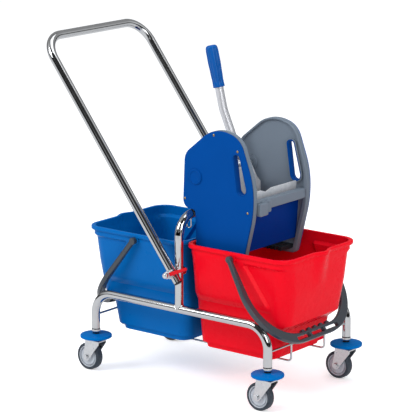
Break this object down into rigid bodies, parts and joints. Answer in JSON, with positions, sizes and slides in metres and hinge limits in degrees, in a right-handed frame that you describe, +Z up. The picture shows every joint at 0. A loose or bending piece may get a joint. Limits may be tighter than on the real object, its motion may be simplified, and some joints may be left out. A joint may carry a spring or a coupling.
{
  "type": "double mop bucket trolley",
  "caption": "Mop trolley: chromed tube frame on swivel casters, lift-out blue and red buckets with bails, tilting push handle and a lever wringer hung on the centre hoop.",
  "frame": {"origin": "on the floor, below the middle of the centre hoop", "axes": "+X along the trolley towards the red bucket, +Y across it, +Z up"},
  "size_m": [0.8533, 0.5092, 0.9736],
  "materials": {
    "chromed_tube": "bright chrome plate",
    "zinc_steel": "bright zinc plate",
    "blue_bumper": "satin moulding",
    "wheel_disc": "satin moulding",
    "tyre_rubber": "non-marking rubber",
    "end_plug": "satin moulding",
    "red_plastic": "moulded satin gloss",
    "blue_plastic": "moulded satin gloss",
    "grey_plastic": "moulded satin",
    "deep_blue_plastic": "moulded satin gloss",
    "brass_screws": "yellow zinc plate",
    "galvanised_sheet": "galvanised",
    "lever_aluminium": "satin"
  },
  "bodies": {
    "frame": {"front_side_rail": "chromed_tube", "back_side_rail": "chromed_tube", "centre_hoop": "chromed_tube", "left_end_rod": "chromed_tube", "right_end_rod": "chromed_tube", "front_cradle_wire": "chromed_tube", "back_cradle_wire": "chromed_tube", "clamp_bolts": "zinc_steel", "post_saddles": "zinc_steel", "front_left_stem": "zinc_steel", "front_left_bumper": "blue_bumper", "front_right_stem": "zinc_steel", "front_right_bumper": "blue_bumper", "back_left_stem": "zinc_steel", "back_left_bumper": "blue_bumper", "back_right_stem": "zinc_steel", "back_right_bumper": "blue_bumper"},
    "front_left_swivel": {"front_left_fork": "zinc_steel", "front_left_axle": "zinc_steel"},
    "front_left_wheel": {"front_left_hub": "wheel_disc", "front_left_tyre": "tyre_rubber"},
    "front_right_swivel": {"front_right_fork": "zinc_steel", "front_right_axle": "zinc_steel"},
    "front_right_wheel": {"front_right_hub": "wheel_disc", "front_right_tyre": "tyre_rubber"},
    "back_left_swivel": {"back_left_fork": "zinc_steel", "back_left_axle": "zinc_steel"},
    "back_left_wheel": {"back_left_hub": "wheel_disc", "back_left_tyre": "tyre_rubber"},
    "back_right_swivel": {"back_right_fork": "zinc_steel", "back_right_axle": "zinc_steel"},
    "back_right_wheel": {"back_right_hub": "wheel_disc", "back_right_tyre": "tyre_rubber"},
    "handle": {"push_handle": "chromed_tube", "handle_end_plugs": "end_plug", "handle_saddles": "zinc_steel"},
    "front_clamp": {"front_clamp_lever": "red_plastic"},
    "back_clamp": {"back_clamp_lever": "red_plastic"},
    "blue_pail": {"blue_bucket": "blue_plastic"},
    "blue_carrier": {"blue_bail": "grey_plastic"},
    "red_pail": {"red_bucket": "red_plastic"},
    "red_carrier": {"red_bail": "grey_plastic"},
    "wringer": {"front_side_wall": "grey_plastic", "back_side_wall": "grey_plastic", "front_cover": "deep_blue_plastic", "back_cover": "deep_blue_plastic", "cover_screws": "brass_screws", "inner_end_wall": "deep_blue_plastic", "outer_end_wall": "deep_blue_plastic", "crossbar": "grey_plastic", "crossbar_catch": "grey_plastic", "drain_grille": "grey_plastic", "counter_plate": "galvanised_sheet", "axle_bushes": "grey_plastic"},
    "press": {"press_axle": "zinc_steel", "press_jaw": "galvanised_sheet", "lever_hub": "zinc_steel", "lever_tube": "lever_aluminium", "lever_grip": "deep_blue_plastic"}
  },
  "joints": [
    {"name": "front_left_swivel_turn", "type": "hinge", "parent": "frame", "child": "front_left_swivel", "pos_m": [-0.309, -0.188, 0.095], "axis": [0, 0, 1], "continuous": true},
    {"name": "front_left_wheel_roll", "type": "hinge", "parent": "front_left_swivel", "child": "front_left_wheel", "pos_m": [-0.333, -0.188, 0.04], "axis": [0, 1, 0], "continuous": true},
    {"name": "front_right_swivel_turn", "type": "hinge", "parent": "frame", "child": "front_right_swivel", "pos_m": [0.309, -0.188, 0.095], "axis": [0, 0, 1], "continuous": true},
    {"name": "front_right_wheel_roll", "type": "hinge", "parent": "front_right_swivel", "child": "front_right_wheel", "pos_m": [0.285, -0.188, 0.04], "axis": [0, 1, 0], "continuous": true},
    {"name": "back_left_swivel_turn", "type": "hinge", "parent": "frame", "child": "back_left_swivel", "pos_m": [-0.309, 0.188, 0.095], "axis": [0, 0, 1], "continuous": true},
    {"name": "back_left_wheel_roll", "type": "hinge", "parent": "back_left_swivel", "child": "back_left_wheel", "pos_m": [-0.333, 0.188, 0.04], "axis": [0, 1, 0], "continuous": true},
    {"name": "back_right_swivel_turn", "type": "hinge", "parent": "frame", "child": "back_right_swivel", "pos_m": [0.309, 0.188, 0.095], "axis": [0, 0, 1], "continuous": true},
    {"name": "back_right_wheel_roll", "type": "hinge", "parent": "back_right_swivel", "child": "back_right_wheel", "pos_m": [0.285, 0.188, 0.04], "axis": [0, 1, 0], "continuous": true},
    {"name": "handle_tilt", "type": "hinge", "parent": "frame", "child": "handle", "pos_m": [0, 0, 0.3463], "axis": [0, 1, 0], "range_deg": [-52, 20]},
    {"name": "front_clamp_turn", "type": "hinge", "parent": "frame", "child": "front_clamp", "pos_m": [0, -0.238, 0.3463], "axis": [0, -1, 0], "range_deg": [0, 120]},
    {"name": "back_clamp_turn", "type": "hinge", "parent": "frame", "child": "back_clamp", "pos_m": [0, 0.238, 0.3463], "axis": [0, -1, 0], "range_deg": [0, 120]},
    {"name": "blue_bucket_lift", "type": "slide", "parent": "frame", "child": "blue_pail", "axis": [-0.2425, 0, 0.9701], "range_m": [0, 0.3]},
    {"name": "blue_bail_swing", "type": "hinge", "parent": "blue_pail", "child": "blue_carrier", "pos_m": [-0.172, 0, 0.4061], "axis": [0, 1, 0], "range_deg": [0, 145]},
    {"name": "red_bucket_lift", "type": "slide", "parent": "frame", "child": "red_pail", "axis": [0.2425, 0, 0.9701], "range_m": [0, 0.3]},
    {"name": "red_bail_swing", "type": "hinge", "parent": "red_pail", "child": "red_carrier", "pos_m": [0.172, 0, 0.4061], "axis": [0, -1, 0], "range_deg": [0, 120]},
    {"name": "wringer_lift", "type": "slide", "parent": "red_pail", "child": "wringer", "axis": [0, 0, 1], "range_m": [0, 0.25]},
    {"name": "press_lever", "type": "hinge", "parent": "wringer", "child": "press", "pos_m": [0.018, 0, 0.6098], "axis": [0, 1, 0], "range_deg": [-30, 0]}
  ]
}
